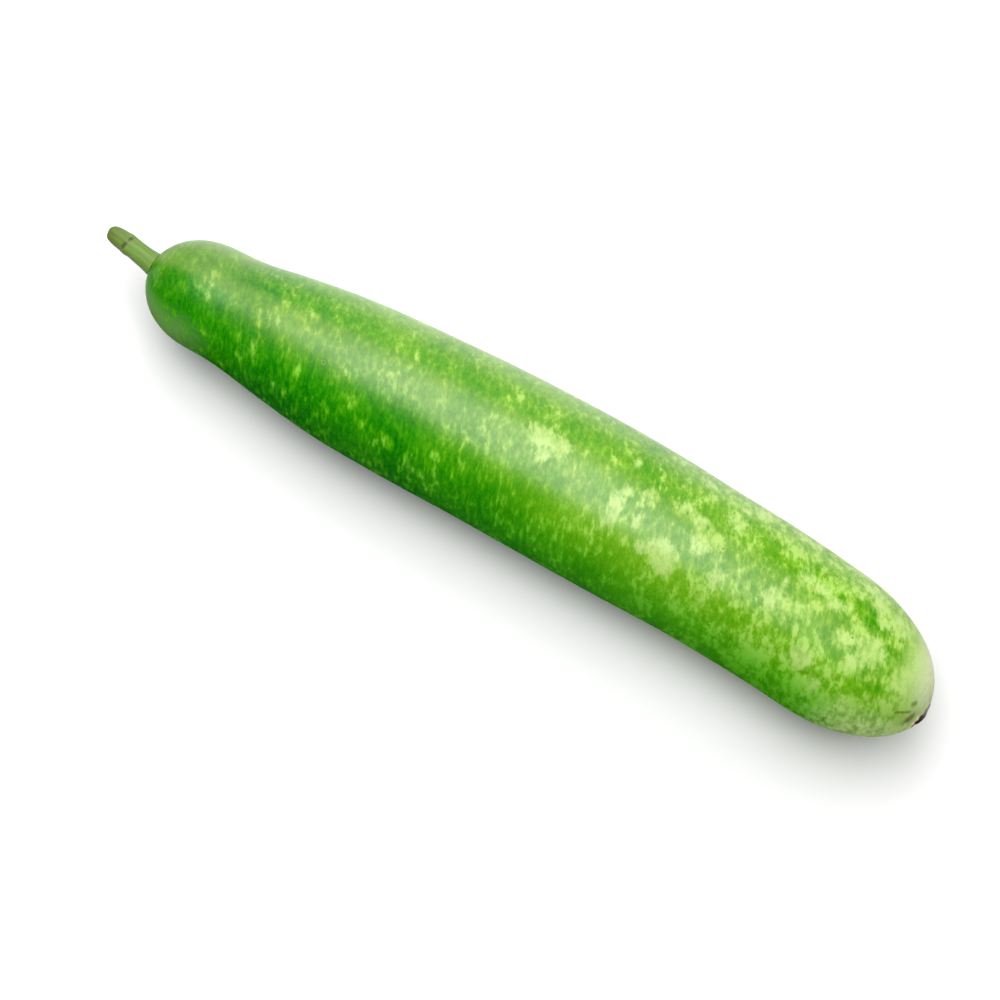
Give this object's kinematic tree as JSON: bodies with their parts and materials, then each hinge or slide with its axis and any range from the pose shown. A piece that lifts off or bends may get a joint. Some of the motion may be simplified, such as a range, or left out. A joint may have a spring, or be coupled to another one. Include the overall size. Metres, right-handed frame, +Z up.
{
  "type": "bottle gourd",
  "caption": "Long bottle gourd lying on its side, gently bowed, with a cut stem stub at the narrow end and a flower scar at the blunt end.",
  "frame": {"origin": "on the surface that the gourd lies on, under the middle of its bounding box", "axes": "+X along the fruit from the stem end to the blossom end, +Z up, and -Z out of the flat spot that it lies on"},
  "size_m": [0.4476, 0.08, 0.078],
  "materials": {
    "rind": "satin, mottled green",
    "stalk": "matt, pale olive green"
  },
  "bodies": {
    "root": {"fruit": "rind", "stem": "stalk"}
  },
  "joints": []
}
